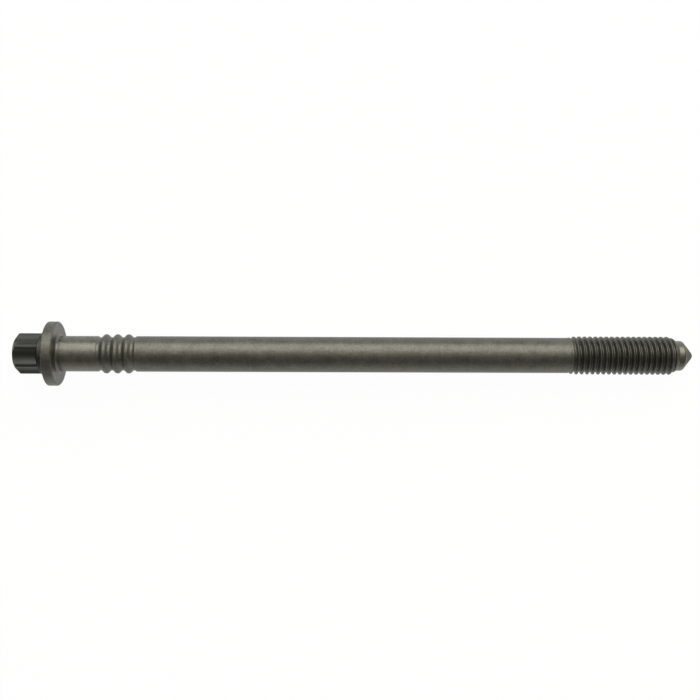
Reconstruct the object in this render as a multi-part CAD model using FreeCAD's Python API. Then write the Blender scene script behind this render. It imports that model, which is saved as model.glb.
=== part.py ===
import FreeCAD, Part
import math
import os

# A cylinder head bolt: one piece of steel, forged, turned and rolled.
# It is built along +X from the bearing face under the flange, at 0, to the tip at
# the far end, with the star head on the negative side. It is then laid down as it
# comes to rest, on the flange and the thread. Sizes are in millimetres and degrees.

# Shank, from the bearing face to the tip
under_head_length = 230.0
shank_diameter = 12.85
under_head_radius = 1.0

# Round flange, which seats on the cylinder head
flange_diameter = 23.2
flange_thickness = 3.7
flange_edge = 0.35
seat_bevel_length = 0.7
seat_bevel_depth = 0.3

# Six-lobe star for the socket, size 16
star_over_lobes = 14.76
star_lobes = 6
flute_depth = 1.8
lobe_radius = 1.15
star_height = 11.6
star_turn = 38.25
end_bevel_depth = 1.9
end_bevel_angle = 55.0
collar_step = 0.12
collar_height = 2.4
flute_end_angle = 65.0

# Rolled ribs, which centre the shank in its hole
rib_count = 3
rib_rise = 0.69
rib_crest = 0.9
rib_spacing = 4.0
rib_flank_angle = 45.0
valley_depth = 0.43
first_valley = 15.05

# Rolled metric thread, right-hand, from a blank of the shank's size
thread_pitch = 2.0
thread_angle = 60.0
thread_length = 39.8
crest_rise = 0.555
crest_flat = 0.25
root_flat = 0.4
runout_length = 3.2
lead_length = 2.7
thread_turn = 219.0

# Pilot nose beyond the thread
nose_length = 6.1
nose_step = 0.33
nose_angle = 100.0
tip_radius = 1.8

# How far one form is carried into the next, and the points on one turn of a helix
seat = 1.0
inside = 0.1
helix_steps = 14

# Places along the bolt
bearing_face = 0.0
flange_top = bearing_face - flange_thickness
head_end = flange_top - star_height
nose_start = under_head_length - nose_length
thread_start = nose_start - thread_length

# Radii
shank = shank_diameter / 2
rim = flange_diameter / 2
star = star_over_lobes / 2
crest = shank + crest_rise
thread_flank = (thread_pitch - crest_flat - root_flat) / 2
root = crest - thread_flank / math.tan(math.radians(thread_angle / 2))
nose = root - nose_step


def at(x, radius, turn=0.0):
    """The point at x along the bolt, a radius from its axis, turned so many degrees from straight up."""
    angle = math.radians(turn)
    return FreeCAD.Vector(x, -radius * math.sin(angle), radius * math.cos(angle))


def line(start, end):
    """A straight edge."""
    return Part.LineSegment(start, end).toShape()


def lines(corners):
    """Straight edges through corners given as (x, radius)."""
    points = [at(x, radius) for x, radius in corners]
    return [line(a, b) for a, b in zip(points, points[1:])]


def arc_about(centre, start, end):
    """The shorter arc about a centre, from start to end, as a spline, which meshes lightly once turned."""
    middle = (start - centre) + (end - centre)
    middle.normalize()
    arc = Part.Arc(start, centre + middle * (start - centre).Length, end)
    return arc.toBSpline().toShape()


def turned(edges):
    """A solid turned about the bolt's axis, from edges that start and end on the axis."""
    first, last = edges[0].Vertexes[0].Point, edges[-1].Vertexes[-1].Point
    face = Part.Face(Part.Wire(edges + [line(last, first)]))
    return face.revolve(FreeCAD.Vector(0, 0, 0), FreeCAD.Vector(1, 0, 0), 360)


def flange_edges():
    """The flange, up to the fillet that runs into the shank under it."""
    fillet_start = at(bearing_face, shank + under_head_radius)
    fillet_end = at(bearing_face + under_head_radius, shank)
    centre = at(bearing_face + under_head_radius, shank + under_head_radius)
    return [
        *lines([
            (flange_top, 0),
            (flange_top, rim - flange_edge),
            (flange_top + flange_edge, rim),
            (bearing_face - seat_bevel_length, rim),
            (bearing_face, rim - seat_bevel_depth),
            (bearing_face, fillet_start.z),
        ]),
        arc_about(centre, fillet_start, fillet_end),
    ]


def rib_corners():
    """The ribs and the valleys beside them: flat crests and floors with sloping flanks."""
    slope = math.tan(math.radians(rib_flank_angle))
    floor, top = shank - valley_depth, shank + rib_rise
    flank = (top - floor) / slope
    half_floor = (rib_spacing - rib_crest - 2 * flank) / 2
    corners = [(first_valley - half_floor - valley_depth / slope, shank)]
    for index in range(rib_count):
        valley = first_valley + index * rib_spacing
        corners += [
            (valley - half_floor, floor),
            (valley + half_floor, floor),
            (valley + half_floor + flank, top),
            (valley + half_floor + flank + rib_crest, top),
        ]
    valley = first_valley + rib_count * rib_spacing
    corners += [
        (valley - half_floor, floor),
        (valley + half_floor, floor),
        (valley + half_floor + valley_depth / slope, shank),
    ]
    return corners


def nose_edges():
    """The pilot nose: a short cylinder, then a cone with a rounded tip."""
    half = math.radians(nose_angle / 2)
    centre = at(under_head_length - tip_radius, 0)
    touch = centre + at(tip_radius * math.sin(half), tip_radius * math.cos(half))
    cone_start = touch.x - (nose - touch.z) / math.tan(half)
    return [
        *lines([(nose_start, nose), (cone_start, nose), (touch.x, touch.z)]),
        arc_about(centre, touch, at(under_head_length, 0)),
    ]


def blank():
    """What is turned: the flange, the shank with its ribs, the core of the thread and the nose."""
    core = root - inside
    run = [
        (bearing_face + under_head_radius, shank),
        *rib_corners(),
        (thread_start, shank),
        (thread_start + runout_length, core),
        (nose_start, core),
        (nose_start, nose),
    ]
    return turned([*flange_edges(), *lines(run), *nose_edges()])


def star_outline(x):
    """The closed outline of the star at x: small lobe arcs joined by wide flute arcs, all tangent."""
    half_turn = 180.0 / star_lobes
    lobe_reach = star - lobe_radius
    floor = star - flute_depth
    # the flute's centre lies just so far out that its arc touches both lobes
    gap = lobe_radius - floor
    spread = lobe_reach * math.cos(math.radians(half_turn))
    flute_reach = (lobe_reach**2 - gap**2) / (2 * (spread + gap))
    share = lobe_radius / (lobe_radius + flute_reach - floor)
    edges = []
    for index in range(star_lobes):
        turn = star_turn + 2 * index * half_turn
        lobe, next_lobe = at(x, lobe_reach, turn), at(x, lobe_reach, turn + 2 * half_turn)
        flute_before = at(x, flute_reach, turn - half_turn)
        flute_after = at(x, flute_reach, turn + half_turn)
        start = lobe + (flute_before - lobe) * share
        end = lobe + (flute_after - lobe) * share
        next_start = next_lobe + (flute_after - next_lobe) * share
        edges.append(Part.Arc(start, at(x, star, turn), end).toShape())
        edges.append(Part.Arc(end, at(x, floor, turn + half_turn), next_start).toShape())
    return Part.Wire(edges)


def star_head():
    """The star, bevelled round its end, with flutes that run out on a cone above a plain collar."""
    prism = Part.Face(star_outline(head_end)).extrude(FreeCAD.Vector(star_height + seat, 0, 0))
    bevel_rise = math.tan(math.radians(end_bevel_angle))
    envelope = turned(lines([
        (head_end, 0),
        (head_end, star - end_bevel_depth),
        (head_end + (end_bevel_depth + seat) / bevel_rise, star + seat),
        (flange_top + 2 * seat, star + seat),
        (flange_top + 2 * seat, 0),
    ]))
    collar, hidden = star + collar_step, star - flute_depth - seat
    collar_top = flange_top - collar_height
    collar_cone = (collar - hidden) / math.tan(math.radians(flute_end_angle))
    collar_piece = turned(lines([
        (collar_top - collar_cone, 0),
        (collar_top - collar_cone, hidden),
        (collar_top, collar),
        (flange_top + seat, collar),
        (flange_top + seat, 0),
    ]))
    return prism.common(envelope).fuse(collar_piece)


def helix_turn(x, radius):
    """One turn of a right-hand helix about the bolt's axis, starting at x."""
    shares = [step / helix_steps for step in range(helix_steps + 1)]
    points = [at(x + share * thread_pitch, radius, thread_turn + 360 * share) for share in shares]
    heading = at(thread_pitch, 2 * math.pi * radius, thread_turn + 90)
    curve = Part.BSplineCurve()
    curve.interpolate(
        Points=points,
        Parameters=shares,
        InitialTangent=heading,
        FinalTangent=heading,
        Scale=False,
    )
    return curve.toShape()


def threaded_rod():
    """A rod of full thread that is longer than the thread and stops in a screw-shaped face at each end."""
    form = [
        (0, crest),
        (crest_flat, crest),
        (crest_flat + thread_flank, root),
        (crest_flat + thread_flank + root_flat, root),
        (thread_pitch, crest),
    ]
    start = thread_start - 2 * thread_pitch
    turns = math.ceil(thread_length / thread_pitch) + 3
    faces = []
    for turn in range(turns):
        helices = [helix_turn(start + turn * thread_pitch + x, radius) for x, radius in form]
        faces += [Part.makeRuledSurface(a, b) for a, b in zip(helices, helices[1:])]
    for x in (start, start + turns * thread_pitch):
        axis = [at(x, 0), at(x + thread_pitch, 0)]
        section = [at(x + step, radius, thread_turn) for step, radius in form]
        faces.append(Part.makeRuledSurface(line(*axis), helix_turn(x, crest)))
        faces.append(Part.Face(Part.makePolygon([axis[0], *section, axis[1], axis[0]])))
    shell = Part.makeShell(faces)
    shell.sewShape()
    return Part.makeSolid(shell)


def thread():
    """The thread, from its run-out on the shank to its tapered lead at the nose."""
    rise = crest_rise / runout_length
    fall = (crest - nose) / lead_length
    over = crest + inside
    envelope = turned(lines([
        (thread_start - inside / rise, 0),
        (thread_start - inside / rise, shank - inside),
        (thread_start + (over - shank) / rise, over),
        (nose_start - (over - nose) / fall, over),
        (nose_start + inside / fall, nose - inside),
        (nose_start + inside / fall, 0),
    ]))
    return threaded_rod().common(envelope)


def laid_down(bolt):
    """The bolt as it rests, on the flange's edge and the last full crest, over the middle of its length."""
    rest_x, crest_x = bearing_face - seat_bevel_length, nose_start - lead_length
    slope = math.atan((rim - crest) / (crest_x - rest_x))
    middle = (head_end + under_head_length) / 2
    bolt.rotate(at(middle, 0), FreeCAD.Vector(0, 1, 0), math.degrees(slope))
    height = rim * math.cos(slope) - (middle - rest_x) * math.sin(slope)
    bolt.translate(FreeCAD.Vector(-middle, 0, height))
    return bolt


def head_bolt():
    """The whole bolt, one solid."""
    return laid_down(blank().fuse(star_head()).fuse(thread()).Solids[0])


bolt = head_bolt()
os.makedirs("parts", exist_ok=True)
bolt.exportStep("parts/head_bolt.step")
print("valid", bolt.isValid(), "volume in cubic mm", round(bolt.Volume, 1))
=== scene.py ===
# %% [markdown]
# # A cylinder head bolt
#
# This is a long bolt that clamps the cylinder head of an engine to its block. It is one
# piece of steel: a star-shaped head for a socket, a round flange that seats on the
# cylinder head, a slim shank with three rolled ribs that centre it in its hole, and a
# rolled thread that ends in a pilot nose. It lies on a pale table and is seen from
# straight above.
#
# The solid model gives the frame and the sizes. This file gives the bolt its rounded
# ribs and thread, its steel finish, the light and the camera. Lengths are in metres.

# %% Tools and frame
import math

import bmesh
import bpy
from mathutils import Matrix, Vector


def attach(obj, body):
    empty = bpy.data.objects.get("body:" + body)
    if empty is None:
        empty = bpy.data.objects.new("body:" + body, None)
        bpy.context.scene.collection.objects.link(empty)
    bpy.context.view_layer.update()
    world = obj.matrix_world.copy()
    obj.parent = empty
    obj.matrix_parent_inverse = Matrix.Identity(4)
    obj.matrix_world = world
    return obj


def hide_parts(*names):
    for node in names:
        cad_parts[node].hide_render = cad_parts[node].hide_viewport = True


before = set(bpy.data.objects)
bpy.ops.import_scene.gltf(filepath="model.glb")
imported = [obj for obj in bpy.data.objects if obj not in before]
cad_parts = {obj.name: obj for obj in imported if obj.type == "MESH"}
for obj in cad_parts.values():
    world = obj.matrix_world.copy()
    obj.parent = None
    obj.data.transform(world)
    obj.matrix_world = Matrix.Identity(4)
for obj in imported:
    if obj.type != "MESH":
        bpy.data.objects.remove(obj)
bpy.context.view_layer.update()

# %% [markdown]
# ## Sizes
#
# They are the sizes of the solid model, written in millimetres and turned to metres once.
# The bolt is described along its own axis, with 0 at the bearing face under the flange,
# the head on the negative side and the tip at the far end.

# %% Sizes of the head and the flange
mm = 0.001

rim = 23.2 / 2 * mm
flange_top = -3.7 * mm
star = 14.76 / 2 * mm
flute_depth = 1.8 * mm
lobe_radius = 1.15 * mm
star_turn = math.radians(38.25)
head_end = flange_top - 11.6 * mm
end_bevel = 1.9 * mm
bevel_angle = math.radians(55)
collar = star + 0.12 * mm
collar_top = flange_top - 2.4 * mm
print("end of the head, in mm from the bearing face:", round(head_end / mm, 1))

# %% Sizes of the shank, the thread and the nose
shank = 12.85 / 2 * mm
tip = 230.0 * mm
pitch = 2.0 * mm
crest_flat = 0.25 * mm
flank_angle = math.radians(30)
thread_depth = 1.169 * mm
crest = shank + 0.555 * mm
root = crest - thread_depth
nose = root - 0.33 * mm
nose_start = tip - 6.1 * mm
thread_start = nose_start - 39.8 * mm
thread_turn = math.radians(219)
middle = (head_end + tip) / 2
print("thread and nose start, in mm from the bearing face:",
      [round(place / mm, 1) for place in (thread_start, nose_start)])

# %% [markdown]
# ## The outline that is turned
#
# A lathe would make most of this bolt, so the piece starts as half of its outline. Each
# corner has a place, a rounding and a number of steps to the next corner. A curve with a
# bevel could do the same, but here every ring of the mesh is placed on purpose: many in
# the thread, where the surface is busy, and few on the plain shank.

# %% Helper for rounded outlines
def rounded(corners, arc_steps=6):
    """Points along a run of corners (x, radius, rounding, steps to the next corner)."""
    points = []
    for index, (x, radius, rounding, steps) in enumerate(corners):
        corner = Vector((x, radius))
        start = end = corner
        if rounding:
            before = (Vector(corners[index - 1][:2]) - corner).normalized()
            after = (Vector(corners[index + 1][:2]) - corner).normalized()
            half = before.angle(after) / 2
            reach = rounding / math.tan(half)
            start, end = corner + before * reach, corner + after * reach
            centre = corner + (before + after).normalized() * (rounding / math.sin(half))
            sweep = (start - centre).angle_signed(end - centre)
        if points:
            points += [points[-1].lerp(start, step / last_steps) for step in range(1, last_steps)]
        points.append(start)
        if rounding:
            spoke = start - centre
            for step in range(1, arc_steps + 1):
                angle = -sweep * step / arc_steps
                turned = Vector((
                    spoke.x * math.cos(angle) - spoke.y * math.sin(angle),
                    spoke.x * math.sin(angle) + spoke.y * math.cos(angle),
                ))
                points.append(centre + turned)
        last_steps = steps
    return points


print("one square corner, rounded:",
      len(rounded([(0, 1, 0, 1), (1, 1, 0.2, 1), (1, 0, 0, 1)])), "points")

# %% [markdown]
# ## Head and flange
#
# The socket's star is cut later by a formula, so here the head is only its envelope: the
# end face, the bevel round it and a cylinder a little wider than the star. The flange
# follows. Its rim is rounded towards the head and has a small break towards the seat, and
# a fillet takes the load into the shank. A Bevel modifier could round these edges, but it
# would round the star's as well. A plain corner close to a rounded one adds a ring that
# keeps the face between them flat when it is shaded.

# %% Corners of the head and the flange
margin = 0.6 * mm
end_round = 0.25 * mm
flute_run = 2.6 * mm
rim_round = 0.4 * mm
rim_break = 0.4 * mm
break_round = 0.1 * mm
under_head_radius = 1.0 * mm

head_corners = [
    (head_end, 0, 0, 1),
    (head_end, 2.6 * mm, 0, 2),
    (head_end, star - end_bevel, end_round, 16),
    (head_end + (end_bevel + margin) / math.tan(bevel_angle), star + margin, 0, 6),
    (collar_top - flute_run, star + margin, 0, 30),
    (flange_top, star + margin, 0, 1),
]
flange_corners = [
    (flange_top, star + 2 * margin, 0, 1),
    (flange_top, rim - 1.2 * mm, 0, 3),
    (flange_top, rim, rim_round, 8),
    (-rim_break, rim, break_round, 2),
    (0, rim - rim_break, break_round, 1),
    (0, rim - 0.6 * mm, 0, 5),
    (0, shank + 1.2 * mm, 0, 1),
    (0, shank, under_head_radius, 3),
]
print("corners of the head and the flange:", len(head_corners + flange_corners))

# %% [markdown]
# ## Ribs
#
# Two dies roll three ribs into the shank, and the steel that leaves the valleys rises
# into the crests. Three rings joined to the shank would show a seam at their feet. A
# zigzag at 45 degrees in the outline, with every corner well rounded, gives the soft wave
# that rolling leaves.

# %% Corners of the ribs
rib_count = 3
rib_spacing = 4.0 * mm
first_valley = 15.05 * mm
rib_crest = shank + 0.69 * mm
rib_valley = shank - 0.43 * mm
valley_edge = 0.5 * mm

# how far an arc of this radius stays inside its corner
cut_short = math.sqrt(2) - 1
rib_round = (rib_spacing / 2 - (rib_crest - rib_valley)) / (2 * cut_short)
low, high = rib_valley - rib_round * cut_short, rib_crest + rib_round * cut_short

rib_corners = [(2.0 * mm, shank, 0, 4), (first_valley - (shank - low), shank, valley_edge, 2)]
for rib in range(rib_count):
    valley = first_valley + rib * rib_spacing
    rib_corners += [(valley, low, rib_round, 2), (valley + rib_spacing / 2, high, rib_round, 2)]
valley = first_valley + rib_count * rib_spacing
rib_corners += [(valley, low, rib_round, 2), (valley + (shank - low), shank, valley_edge, 4)]
print("radius of the ribs, in mm:", round(rib_crest / mm, 2),
      "and of the valleys:", round(rib_valley / mm, 2))

# %% [markdown]
# ## Thread envelope and nose
#
# Here too the outline is only an envelope: it rises where the thread begins, stays above
# the crests and falls along the tapered lead. The nose below the thread is plain, a short
# cylinder and a cone with a rounded tip, which finds the hole.

# %% Corners of the thread and the nose
runout = 3.2 * mm
lead = 2.7 * mm
over = crest + 0.15 * mm
tip_radius = 1.8 * mm
shoulder_round = 1.4 * mm
half_nose = math.radians(50)

# the cone's own point, which the rounded tip cuts off
cone_end = tip + tip_radius * (1 / math.sin(half_nose) - 1)
cone_start = cone_end - nose / math.tan(half_nose)

# the last corner mirrors the cone, so the tip's arc is whole; its far half is dropped later
thread_corners = [
    (first_valley + 20 * mm, shank, 0, 10),
    (thread_start - 1.0 * mm, shank, 0, 1),
    (thread_start, shank, 0, 19),
    (thread_start + runout, over, 0, 250),
    (nose_start - lead, over, 0, 23),
    (nose_start, nose, 0, 1),
    (nose_start + 0.7 * mm, nose, 0, 1),
    (cone_start, nose, shoulder_round, 6),
    (cone_end, 0, tip_radius, 1),
    (cone_start, -nose, 0, 1),
]
print("the nose's cone, in mm:", round((tip - cone_start) / mm, 2), "long and",
      round(2 * nose / mm, 2), "across")

# %% [markdown]
# ## Two outlines in one
#
# The star and the thread are cut between two limits. The outer one is the envelope above.
# The inner one is where the cutting stops: the plain collar above the flange, on which the
# flutes run out, and the cone of the shank, on which the thread runs out. Each ring of the
# mesh gets both, as the Y and Z of one point. Where the two are equal, the bolt is plain.

# %% Inner limit
tiny = 0.001 * mm
collar_fillet = 0.5 * mm
flute_end = math.radians(65)
below_root = 0.1 * mm


def inner_limit(x, outer):
    """How far from the axis the cutting stops, at x along the bolt."""
    if x < flange_top + tiny and outer < star + margin + tiny:
        flare = min(collar_fillet, max(0.0, x - (flange_top - collar_fillet)))
        cut = min(collar, collar - (collar_top - x) * math.tan(flute_end))
        return max(cut, 0.0) + collar_fillet - math.sqrt(collar_fillet**2 - flare**2)
    if thread_start < x < nose_start - tiny:
        return max(root - below_root, shank - (x - thread_start) * (shank - root) / runout)
    return outer


print("inner limit half-way along the run-out, in mm:",
      round(inner_limit(thread_start + runout / 2, over) / mm, 2))

# %% Both limits for every ring
corners = head_corners + flange_corners + rib_corners + thread_corners
outline = [(x, max(outer, 0.0)) for x, outer in rounded(corners) if outer > -tiny]
rings = [(x, inner_limit(x, outer), outer) for x, outer in outline]
print("rings in the outline:", len(rings))

# %% [markdown]
# ## Formulas in nodes
#
# The star and the thread follow rules, so they are worked out in Geometry Nodes. A formula
# in Math nodes soon gets hard to read. The small class Number lets it be written as on
# paper: each sign makes one Math node in the tree that its numbers belong to.

# %% Helper for one Math node
def calculate(operation, *values):
    """One Math node; the values are plain numbers or Number sockets."""
    tree = next(value.socket.id_data for value in values if isinstance(value, Number))
    made = tree.nodes.new("ShaderNodeMath")
    made.operation = operation
    for value, slot in zip(values, made.inputs):
        if isinstance(value, Number):
            tree.links.new(value.socket, slot)
        else:
            slot.default_value = value
    return Number(made.outputs[0])


# %% Helper for formulas
class Number:
    """A number in a node tree, for writing formulas."""

    def __init__(self, socket):
        self.socket = socket

    def __add__(self, other):
        return calculate("ADD", self, other)

    def __sub__(self, other):
        return calculate("SUBTRACT", self, other)

    def __rsub__(self, other):
        return calculate("SUBTRACT", other, self)

    def __mul__(self, other):
        return calculate("MULTIPLY", self, other)

    def __truediv__(self, other):
        return calculate("DIVIDE", self, other)

    def __rtruediv__(self, other):
        return calculate("DIVIDE", other, self)

    def squared(self):
        return calculate("POWER", self, 2)

    def root(self):
        return calculate("SQRT", self)

    def sine(self):
        return calculate("SINE", self)

    def cosine(self):
        return calculate("COSINE", self)

    def wrapped(self, width):
        """Repeated with this width, as a distance from the middle of each repeat."""
        return calculate("ABSOLUTE", calculate("WRAP", self, width / 2, width / -2))


# %% [markdown]
# Every tree here has named inputs and outputs, so that it can be used again with other
# sizes. The next helper makes the tree, its sockets and the two nodes that stand for them.

# %% Helper for node trees
def new_tree(name, kind, inputs, outputs):
    """A node tree with named sockets, its input sockets by name and its output node."""
    tree = bpy.data.node_groups.new(name, kind)
    for socket_name, socket_kind in inputs:
        tree.interface.new_socket(socket_name, in_out="INPUT", socket_type=socket_kind)
    for socket_name, socket_kind in outputs:
        tree.interface.new_socket(socket_name, in_out="OUTPUT", socket_type=socket_kind)
    given = tree.nodes.new("NodeGroupInput")
    result = tree.nodes.new("NodeGroupOutput")
    return tree, {name: given.outputs[name] for name, _ in inputs}, result


# %% [markdown]
# ## The star
#
# Seen along the bolt, the star is six small lobe arcs joined by six wide flute arcs, all
# tangent, so a socket pushes on flanks and not on corners. It could be drawn as a curve,
# extruded and cut into the head, but then its flutes would end bluntly at the flange. As a
# formula it can fade into the collar. Both arcs are circles, and a circle's distance from
# the axis at a given turn has a short formula. The rule repeats every 60 degrees and is the
# same to both sides of a lobe.

# %% Inputs of the star and the reach of its arcs
FLOAT = "NodeSocketFloat"
star_sizes = ["Over lobes", "Flute depth", "Lobe radius", "Lobes", "Turned by"]
star_tree, given, result = new_tree(
    "Star section", "GeometryNodeTree", [("Turn", FLOAT)] + [(n, FLOAT) for n in star_sizes],
    [("Radius", FLOAT)])
lobe_tip, depth, lobe, lobes, turned_by = (Number(given[n]) for n in star_sizes)
turn = Number(given["Turn"])
repeat = 2 * math.pi / lobes
half = repeat / 2
from_lobe = (turn - turned_by).wrapped(repeat)
from_flute = half - from_lobe
lobe_reach = lobe_tip - lobe
floor_radius = lobe_tip - depth
gap = lobe - floor_radius
flute_reach = ((lobe_reach.squared() - gap.squared())
               / ((lobe_reach * half.cosine() + gap) * 2))
flute = flute_reach - floor_radius
print("star section, so far:", len(star_tree.nodes), "nodes")

# %% The star's radius, on a lobe or in a flute
on_lobe = lobe_reach * from_lobe.cosine() + (
    lobe.squared() - (lobe_reach * from_lobe.sine()).squared()).root()
on_flute = flute_reach * from_flute.cosine() - (
    flute.squared() - (flute_reach * from_flute.sine()).squared()).root()
share = lobe / (lobe + flute)
meeting = calculate(
    "ARCTAN2", flute_reach * half.sine() * share,
    lobe_reach + (flute_reach * half.cosine() - lobe_reach) * share)
in_lobe = calculate("LESS_THAN", from_lobe, meeting)
star_tree.links.new((on_flute + (on_lobe - on_flute) * in_lobe).socket, result.inputs["Radius"])
print("star section:", len(star_tree.nodes), "nodes")

# %% [markdown]
# ## The thread
#
# A thread is one ridge that climbs by its pitch on every turn. A Screw modifier could sweep
# it as a piece of its own, which would stop bluntly at both ends, and on the real bolt the
# thread fades into the shank. So it is a formula too: how far a point is from the middle
# of the ridge, measured along the bolt, follows from its place and its turn. The flanks
# fall away at 60 degrees to each other, and rolling leaves soft crests and roots, so the
# limits are joined with rounded edges.

# %% Node group for the thread
def softer(a, b, softness, operation="SMOOTH_MIN"):
    """The smaller of two lengths, or the larger, with the edge between them rounded."""
    return calculate(operation, a, b, softness)


thread_sizes = ["Crest", "Root", "Pitch", "Crest flat", "Starts at", "Softness"]
thread_tree, given, result = new_tree(
    "Thread section", "GeometryNodeTree",
    [("Turn", FLOAT), ("Along", FLOAT)] + [(n, FLOAT) for n in thread_sizes], [("Radius", FLOAT)])
top, floor, rise, flat, starts_at, softness = (Number(given[n]) for n in thread_sizes)
climb = Number(given["Turn"]) / (2 * math.pi) * rise
from_crest = (Number(given["Along"]) - starts_at - climb).wrapped(rise)
flank = top - (from_crest - flat / 2) / math.tan(flank_angle)
ridge = softer(floor, softer(top, flank, softness), softness, "SMOOTH_MAX")
thread_tree.links.new(ridge.socket, result.inputs["Radius"])
print("thread section:", len(thread_tree.nodes), "nodes")

# %% [markdown]
# ## One skin over the whole bolt
#
# Joining a separate head, shank and thread would leave hidden walls inside the steel. The
# real bolt has one skin, so the piece is one grid: its rows are the rings of the outline
# and its columns go round the axis. Each point reads its ring's place and two limits, asks
# the star or the thread for its distance from the axis, and moves there. The ends and the
# seam then close by merging.

# %% Tree for the skin, with a grid to start from
GEOMETRY = "NodeSocketGeometry"
skin_sizes = star_sizes + thread_sizes + ["Middle", "Dip", "Height", "Edge angle"]
skin, given, result = new_tree(
    "Bolt skin", "GeometryNodeTree",
    [("Geometry", GEOMETRY), ("Columns", "NodeSocketInt")] + [(n, FLOAT) for n in skin_sizes]
    + [("Material", "NodeSocketMaterial")],
    [("Geometry", GEOMETRY)])


def node(kind, **settings):
    """A node of the skin's tree."""
    made = skin.nodes.new(kind)
    for setting, value in settings.items():
        setattr(made, setting, value)
    return made


def join(source, target):
    """A link in the skin's tree."""
    skin.links.new(source, target)


size = node("GeometryNodeAttributeDomainSize")
join(given["Geometry"], size.inputs["Geometry"])
columns = Number(given["Columns"])
grid = node("GeometryNodeMeshGrid")
join(size.outputs["Point Count"], grid.inputs["Vertices X"])
join((columns + 1).socket, grid.inputs["Vertices Y"])
print("the skin's inputs:", len(given))

# %% [markdown]
# A grid's points are numbered row by row, so a point's number alone says which ring it is
# on and how far round it sits.

# %% What each point reads from its ring
index = Number(node("GeometryNodeInputIndex").outputs["Index"])
ring = calculate("FLOOR", index / (columns + 1))
turn = (index - ring * (columns + 1)) / columns * (2 * math.pi)
read = node("GeometryNodeSampleIndex", data_type="FLOAT_VECTOR")
join(given["Geometry"], read.inputs["Geometry"])
join(node("GeometryNodeInputPosition").outputs["Position"], read.inputs["Value"])
join(ring.socket, read.inputs["Index"])
split = node("ShaderNodeSeparateXYZ")
join(read.outputs["Value"], split.inputs["Vector"])
along, inner, outer = (Number(split.outputs[axis]) for axis in "XYZ")
print("bolt skin, so far:", len(skin.nodes), "nodes")


# %% Distance of each point from the axis
def section(tree, sizes, **more):
    """A section's radius from its node group, with its sizes from the skin's inputs."""
    made = node("GeometryNodeGroup", node_tree=tree)
    join(turn.socket, made.inputs["Turn"])
    for size_name in sizes:
        join(given[size_name], made.inputs[size_name])
    for name, number in more.items():
        join(number.socket, made.inputs[name])
    return Number(made.outputs["Radius"])


on_star = section(star_tree, star_sizes)
on_thread = section(thread_tree, thread_sizes, Along=along)
in_head = calculate("LESS_THAN", along, 0)
form = on_thread + (on_star - on_thread) * in_head
softness = Number(given["Softness"])
cut = softer(outer, form, softness)
is_cut = calculate("GREATER_THAN", outer - inner, tiny / 10)
radius = outer + (softer(cut, inner, softness, "SMOOTH_MAX") - outer) * is_cut
print("bolt skin, so far:", len(skin.nodes), "nodes")

# %% [markdown]
# The second half of the tree puts each point in its place and closes the mesh. A value
# called groove says how deep a point lies below the envelope, for the painted shade that
# darkens the grooves.

# %% Points in place, and the mesh closed
place = node("ShaderNodeCombineXYZ")
join((along - Number(given["Middle"])).socket, place.inputs["X"])
join((radius * turn.sine() * -1).socket, place.inputs["Y"])
join((radius * turn.cosine()).socket, place.inputs["Z"])
moved = node("GeometryNodeSetPosition")
join(grid.outputs["Mesh"], moved.inputs["Geometry"])
join(place.outputs["Vector"], moved.inputs["Position"])

groove = node("GeometryNodeStoreNamedAttribute", data_type="FLOAT", domain="POINT")
groove.inputs["Name"].default_value = "groove"
join(moved.outputs["Geometry"], groove.inputs["Geometry"])
join(((outer - radius) / mm * is_cut).socket, groove.inputs["Value"])

merged = node("GeometryNodeMergeByDistance")
merged.inputs["Distance"].default_value = tiny
join(groove.outputs["Geometry"], merged.inputs["Geometry"])
print("bolt skin, so far:", len(skin.nodes), "nodes")

# %% [markdown]
# Edges that are truly sharp, such as those of the bevel on the lobes, are marked for
# shading, and the bolt is laid down. It rests on the flange and the thread, so its axis
# dips towards the tip.

# %% Sharp edges, the bolt laid down, and its material
edge_angle = Number(node("GeometryNodeInputMeshEdgeAngle").outputs["Unsigned Angle"])
is_sharp = calculate("GREATER_THAN", edge_angle, Number(given["Edge angle"]))
smooth = node("GeometryNodeSetShadeSmooth", domain="EDGE")
smooth.inputs["Shade Smooth"].default_value = False
join(merged.outputs["Geometry"], smooth.inputs["Geometry"])
join(is_sharp.socket, smooth.inputs["Selection"])

dip = node("ShaderNodeCombineXYZ")
join(given["Dip"], dip.inputs["Y"])
lift = node("ShaderNodeCombineXYZ")
join(given["Height"], lift.inputs["Z"])
laid = node("GeometryNodeTransform")
join(smooth.outputs["Geometry"], laid.inputs["Geometry"])
join(dip.outputs["Vector"], laid.inputs["Rotation"])
join(lift.outputs["Vector"], laid.inputs["Translation"])

real = node("GeometryNodeRealizeInstances")
join(laid.outputs["Geometry"], real.inputs["Geometry"])
painted = node("GeometryNodeSetMaterial")
join(real.outputs["Geometry"], painted.inputs["Geometry"])
join(given["Material"], painted.inputs["Material"])
join(painted.outputs["Geometry"], result.inputs["Geometry"])
print("bolt skin:", len(skin.nodes), "nodes")

# %% [markdown]
# ## Phosphated steel
#
# Head bolts get a dark grey phosphate coat that holds oil. It is made of fine crystals, so
# it looks satin and a little mottled: greyer where it is thin, darker where oil stays. A
# picture of steel could be wrapped round the bolt, but it would show a seam and blur from
# near. Two sizes of noise give the mottle instead, wide patches and fine specks. They are a
# node group of their own, so that another finish can use them at other sizes.

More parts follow.
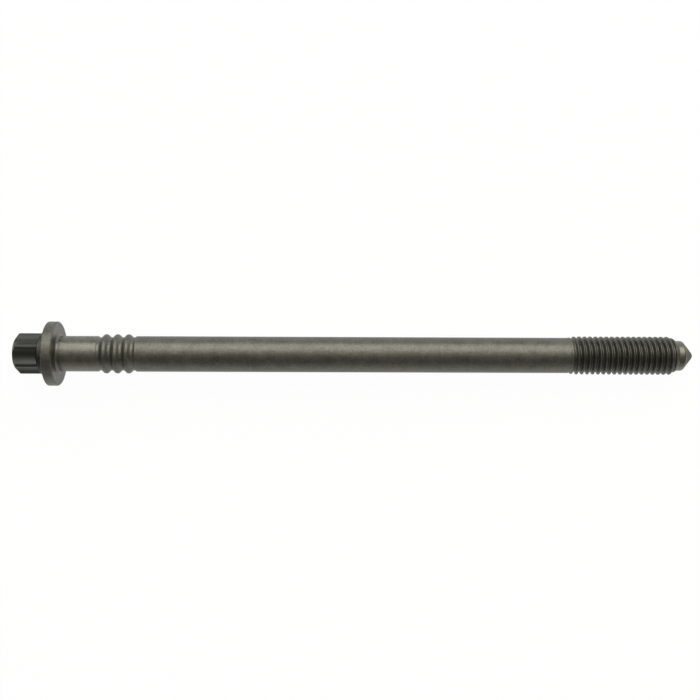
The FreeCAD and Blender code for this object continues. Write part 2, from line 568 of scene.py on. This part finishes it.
# %% Node group for the mottled coat
coat, given, result = new_tree(
    "Mottled coat", "ShaderNodeTree",
    [("Vector", "NodeSocketVector"), ("Patch size", FLOAT), ("Speck size", FLOAT)],
    [("Patches", FLOAT), ("Specks", FLOAT)])
for output, size_name, detail, seed in (
        ("Patches", "Patch size", 4, 0),
        ("Specks", "Speck size", 2, 7)):
    noise = coat.nodes.new("ShaderNodeTexNoise")
    noise.noise_dimensions = "4D"
    noise.inputs["W"].default_value = seed
    noise.inputs["Detail"].default_value = detail
    coat.links.new(given["Vector"], noise.inputs["Vector"])
    coat.links.new((1 / Number(given[size_name])).socket, noise.inputs["Scale"])
    coat.links.new(noise.outputs["Fac"], result.inputs[output])
print("mottled coat:", len(coat.nodes), "nodes")

# %% Material for the bolt, with its mottle and its grooves
steel = bpy.data.materials.new("phosphated_steel")
steel.use_nodes = True
steel_nodes, steel_links = steel.node_tree.nodes, steel.node_tree.links
shader = steel_nodes["Principled BSDF"]
shader.inputs["Metallic"].default_value = 0.9

where = steel_nodes.new("ShaderNodeTexCoord")
mottle = steel_nodes.new("ShaderNodeGroup")
mottle.node_tree = coat
mottle.inputs["Patch size"].default_value = 3.5 * mm
mottle.inputs["Speck size"].default_value = 0.7 * mm
steel_links.new(where.outputs["Object"], mottle.inputs["Vector"])
patches, specks = Number(mottle.outputs["Patches"]), Number(mottle.outputs["Specks"])

in_groove = steel_nodes.new("ShaderNodeAttribute")
in_groove.attribute_name = "groove"
depth = Number(in_groove.outputs["Fac"])
print("phosphated steel, so far:", len(steel_nodes), "nodes")

# %% [markdown]
# The coat isn't the same all over: it is darkest with oil on the star, smoother on the neck
# and on the turned nose, and rough on the nose's cone, where the tool left its marks.
# Painted shade darkens the grooves of the thread and dims the table's reflection on the
# cone, and a paler colour on the neck is painted sheen. The bolt could be split into pieces
# with a material each, but the changes are soft, so masks along its length place them, and
# the finish stays on the bolt from every side.

# %% Masks along the bolt
along = steel_nodes.new("ShaderNodeSeparateXYZ")
steel_links.new(where.outputs["Object"], along.inputs["Vector"])


def beyond(place, width):
    """A mask that rises from 0 to 1 over a width, from a place along the bolt."""
    risen = (Number(along.outputs["X"]) - (place - middle)) / width
    return calculate("MAXIMUM", calculate("MINIMUM", risen, 1), 0)


before_flange = 1 - beyond(flange_top - 1.0 * mm, 1.0 * mm)
on_flange = 1 - before_flange - beyond(0, 1.0 * mm)
# the neck's mask also lifts its colour in the tone below, as painted sheen that brightens its
# highlight
on_neck = beyond(0, 1.0 * mm) - beyond(first_valley - 1.0 * mm, 2.0 * mm)
on_nose = beyond(nose_start - 0.5 * mm, 0.7 * mm)
on_cone = beyond(cone_start, 1.0 * mm)
print("phosphated steel, so far:", len(steel_nodes), "nodes")

# %% [markdown]
# The patches drive both the colour and the roughness, because on the real coat they go
# together. One sum gives the tone and one gives the roughness, and each number in them
# says how much a mask or a noise counts. The specks also make the faint bumps of the
# crystals.

# %% Colour of the steel
thick_coat = (0.08, 0.08, 0.072, 1)
thin_coat = (0.22, 0.22, 0.20, 1)
oily_star = (0.06, 0.064, 0.06, 1)
smooth_nose = (0.19, 0.19, 0.155, 1)
# the cone's darker colour is painted shade that dims the table's reflection in it
cone_painted_shade = (0.12, 0.12, 0.1, 1)


def covered(below, mask, colour):
    """The colour below, with another colour over it as far as a mask says."""
    cover = steel_nodes.new("ShaderNodeMix")
    cover.data_type = "RGBA"
    steel_links.new(mask.socket, cover.inputs["Factor"])
    steel_links.new(below, cover.inputs["A"])
    cover.inputs["B"].default_value = colour
    return cover.outputs["Result"]


shade = steel_nodes.new("ShaderNodeValToRGB")
shade.color_ramp.elements[0].color = thick_coat
shade.color_ramp.elements[1].color = thin_coat
# depth darkens the grooves of the thread: painted shade
tone = patches * 0.8 + specks - depth * 0.3 - on_flange * 0.06 + on_neck * 0.12 - 0.4
steel_links.new(tone.socket, shade.inputs["Fac"])
with_oil = covered(shade.outputs["Color"], before_flange, oily_star)
with_nose = covered(with_oil, on_nose * 0.8, smooth_nose)
with_cone = covered(with_nose, on_cone, cone_painted_shade)
steel_links.new(with_cone, shader.inputs["Base Color"])
print("phosphated steel, so far:", len(steel_nodes), "nodes")

# %% Roughness and bumps of the steel
rough = patches * 0.12 - on_neck * 0.07 - on_nose * 0.12 + on_cone * 0.25 + 0.36
steel_links.new(rough.socket, shader.inputs["Roughness"])
bump = steel_nodes.new("ShaderNodeBump")
bump.inputs["Distance"].default_value = 0.05 * mm
bump.inputs["Strength"].default_value = 0.15
steel_links.new(specks.socket, bump.inputs["Height"])
steel_links.new(bump.outputs["Normal"], shader.inputs["Normal"])
print("phosphated steel:", len(steel_nodes), "nodes")

# %% [markdown]
# ## The bolt
#
# The outline becomes a mesh of loose points, the tree turns it into the bolt, and the
# result is kept as a plain mesh in the place of the solid model's node. First comes how it
# lies: on the edge of the flange and on the last full crest of the thread.

# %% How the bolt lies
seat_bevel = 0.7 * mm
rest_at, crest_at = -seat_bevel, nose_start - lead
dip_angle = math.atan((rim - crest) / (crest_at - rest_at))
height = rim * math.cos(dip_angle) - (middle - rest_at) * math.sin(dip_angle)
print("dip, in degrees:", round(math.degrees(dip_angle), 2))

# %% Hand the outline and the sizes to the tree
outline_mesh = bpy.data.meshes.new("outline")
outline_mesh.from_pydata(rings, [], [])
outline_piece = bpy.data.objects.new("outline", outline_mesh)
bpy.context.scene.collection.objects.link(outline_piece)
modifier = outline_piece.modifiers.new("skin", "NODES")
modifier.node_group = skin
values = {
    "Columns": 180,
    "Over lobes": star,
    "Flute depth": flute_depth,
    "Lobe radius": lobe_radius,
    "Lobes": 6.0,
    "Turned by": star_turn,
    "Crest": crest,
    "Root": root,
    "Pitch": pitch,
    "Crest flat": crest_flat,
    "Starts at": thread_start + crest_flat / 2 - pitch * thread_turn / (2 * math.pi),
    "Softness": 0.3 * mm,
    "Middle": middle,
    "Dip": dip_angle,
    "Height": height,
    "Edge angle": math.radians(40),
    "Material": steel,
}
sockets = {item.name: item.identifier for item in skin.interface.items_tree
           if item.in_out == "INPUT"}
for name, value in values.items():
    modifier[sockets[name]] = value
print("inputs set:", len(values))

# %% Keep the bolt as a plain mesh
depsgraph = bpy.context.evaluated_depsgraph_get()
bolt_mesh = bpy.data.meshes.new_from_object(outline_piece.evaluated_get(depsgraph))
bpy.data.objects.remove(outline_piece)
bolt_mesh.name = "bolt"
bolt = bpy.data.objects.new("bolt", bolt_mesh)
bpy.context.scene.collection.objects.link(bolt)
print("bolt:", len(bolt_mesh.vertices), "points")

# %% [markdown]
# A closed skin has no open edge and its faces point outwards. Here the open edges are
# counted and the faces are turned outwards if the volume comes out negative, because a gap
# would show as a dark line and inside-out faces would spoil the light. The volume is printed.

# %% Check the bolt's mesh
check = bmesh.new()
check.from_mesh(bolt_mesh)
if check.calc_volume(signed=True) < 0:
    bmesh.ops.reverse_faces(check, faces=check.faces)
    check.to_mesh(bolt_mesh)
triangles = sum(len(face.verts) - 2 for face in check.faces)
open_edges = sum(not edge.is_manifold for edge in check.edges)
print("bolt:", triangles, "triangles,", open_edges, "open edges,",
      round(check.calc_volume() / mm**3), "cubic mm")
check.free()

# %% Put the bolt in the place of the solid model's node
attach(bolt, "root")
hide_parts("head_bolt")
print("the piece", bolt.name, "stands for the node head_bolt")

# %% [markdown]
# ## Floor
#
# The table is pale and plain. Extra light to make it white would wash out the steel, so
# the floor is mixed instead: to the camera and in reflections it is mostly a plain white
# glow, and for all other light it is a matt pale table that keeps the bolt's soft shadow.
# Rays that pass through glass count as the camera's, here and in the room.

# %% Floor
reach = 1.5
table_corners = [(x * reach, y * reach, 0) for x, y in ((-1, -1), (1, -1), (1, 1), (-1, 1))]
floor_mesh = bpy.data.meshes.new("floor")
floor_mesh.from_pydata(table_corners, [], [(0, 1, 2, 3)])
table = bpy.data.objects.new("floor", floor_mesh)
bpy.context.scene.collection.objects.link(table)
print("floor:", 2 * reach, "m to a side")


# %% Finish of the floor
def seen_directly(rays):
    """1 for rays that come straight from the camera or through glass, otherwise 0."""
    return Number(rays.outputs["Is Camera Ray"]) + Number(rays.outputs["Is Transmission Ray"])


glow_to_camera, glow_in_reflections = 0.95, 0.74

white = bpy.data.materials.new("pale_table")
white.use_nodes = True
white_nodes, white_links = white.node_tree.nodes, white.node_tree.links
matt = white_nodes["Principled BSDF"]
matt.inputs["Base Color"].default_value = (0.8, 0.8, 0.8, 1)
matt.inputs["Roughness"].default_value = 0.9
bright = white_nodes.new("ShaderNodeEmission")
bright.inputs["Strength"].default_value = 1.02
floor_rays = white_nodes.new("ShaderNodeLightPath")
glow = (seen_directly(floor_rays) * glow_to_camera
        + Number(floor_rays.outputs["Is Glossy Ray"]) * glow_in_reflections)
mix = white_nodes.new("ShaderNodeMixShader")
white_links.new(glow.socket, mix.inputs["Fac"])
white_links.new(matt.outputs["BSDF"], mix.inputs[1])
white_links.new(bright.outputs["Emission"], mix.inputs[2])
white_links.new(mix.outputs["Shader"], white_nodes["Material Output"].inputs["Surface"])
floor_mesh.materials.append(white)
print("pale table:", len(white_nodes), "nodes")

# %% [markdown]
# ## Room
#
# The camera sees the room as plain white. The steel has to see it dim and slightly warm,
# because its reflection is the dark band along the middle of the shank. A picture of a
# studio could give both, but one dim colour and a few lamps are easier to steer.

# %% Room
room_light = 0.19
warm, plain = (1.0, 0.92, 0.8, 1), (1, 1, 1, 1)

room = bpy.data.worlds.new("room")
room.use_nodes = True
bpy.context.scene.world = room
room_nodes, room_links = room.node_tree.nodes, room.node_tree.links
backdrop = room_nodes["Background"]
directly = seen_directly(room_nodes.new("ShaderNodeLightPath"))
strength = directly * (1 - room_light) + room_light
room_links.new(strength.socket, backdrop.inputs["Strength"])
tint = room_nodes.new("ShaderNodeMix")
tint.data_type = "RGBA"
room_links.new(directly.socket, tint.inputs["Factor"])
tint.inputs["A"].default_value = warm
tint.inputs["B"].default_value = plain
room_links.new(tint.outputs["Result"], backdrop.inputs["Color"])
print("room:", len(room_nodes), "nodes")

# %% [markdown]
# ## Lamps
#
# Steel shows what is round it more than its own colour, so the lamps decide its look. All
# three are long and soft, because a short lamp would leave the ends of the bolt dark. The
# back lamp gives the bright band on the upper side of the shank, a wider and weaker one
# softens the band's edges, and a low one in front lifts the lower side. The back lamp
# reaches further past the tip than past the head, so the slopes that face the tip shine
# more widely: one flank of each rib, the fillet under the flange and the nose's edge.

# %% Lamps
lamp_distance = 0.9
lamp_colour = (1.0, 0.99, 0.89)


def lamp(name, angle, width, ends, power):
    """A soft lamp above the bolt, leaning back by an angle, with its two ends at these X."""
    light = bpy.data.lights.new(name, "AREA")
    light.shape = "RECTANGLE"
    light.size, light.size_y, light.energy = ends[1] - ends[0], width, power
    light.color = lamp_colour
    made = bpy.data.objects.new(name, light)
    lean = math.radians(angle)
    made.location = (sum(ends) / 2, lamp_distance * math.sin(lean), lamp_distance * math.cos(lean))
    made.rotation_euler = (-lean, 0, 0)
    bpy.context.scene.collection.objects.link(made)
    print(name, "leans back by", angle, "degrees,", power, "watts")


lamp("back_lamp", 47.5, 0.79, (-0.6, 1.5), 8.26)
lamp("back_glow", 40, 1.62, (-0.75, 0.75), 4.3)
lamp("front_glow", -75, 0.45, (-0.75, 0.75), 0.7)

# %% [markdown]
# ## Camera
#
# The bolt is seen from straight above, from so near that the head and the tip show a
# little of their inner faces. The lens is given by its focal length in pixels of a
# picture 700 pixels wide, which a sensor 36 mm wide turns into millimetres.

# %% Camera
sensor_width = 36
picture_width = 700
focal_pixels = 976
camera_place = (-2.4 * mm, 1.7 * mm, 364 * mm)
camera_turn = 0.0037

camera = bpy.data.objects.new("camera", bpy.data.cameras.new("camera"))
camera.data.sensor_width = sensor_width
camera.data.lens = sensor_width * focal_pixels / picture_width
camera.data.clip_start = 0.01
camera.location = camera_place
camera.rotation_euler = (0, 0, camera_turn)
bpy.context.scene.collection.objects.link(camera)
bpy.context.scene.camera = camera
bpy.context.scene.view_settings.view_transform = "Standard"
print("lens, in mm:", round(camera.data.lens, 1))
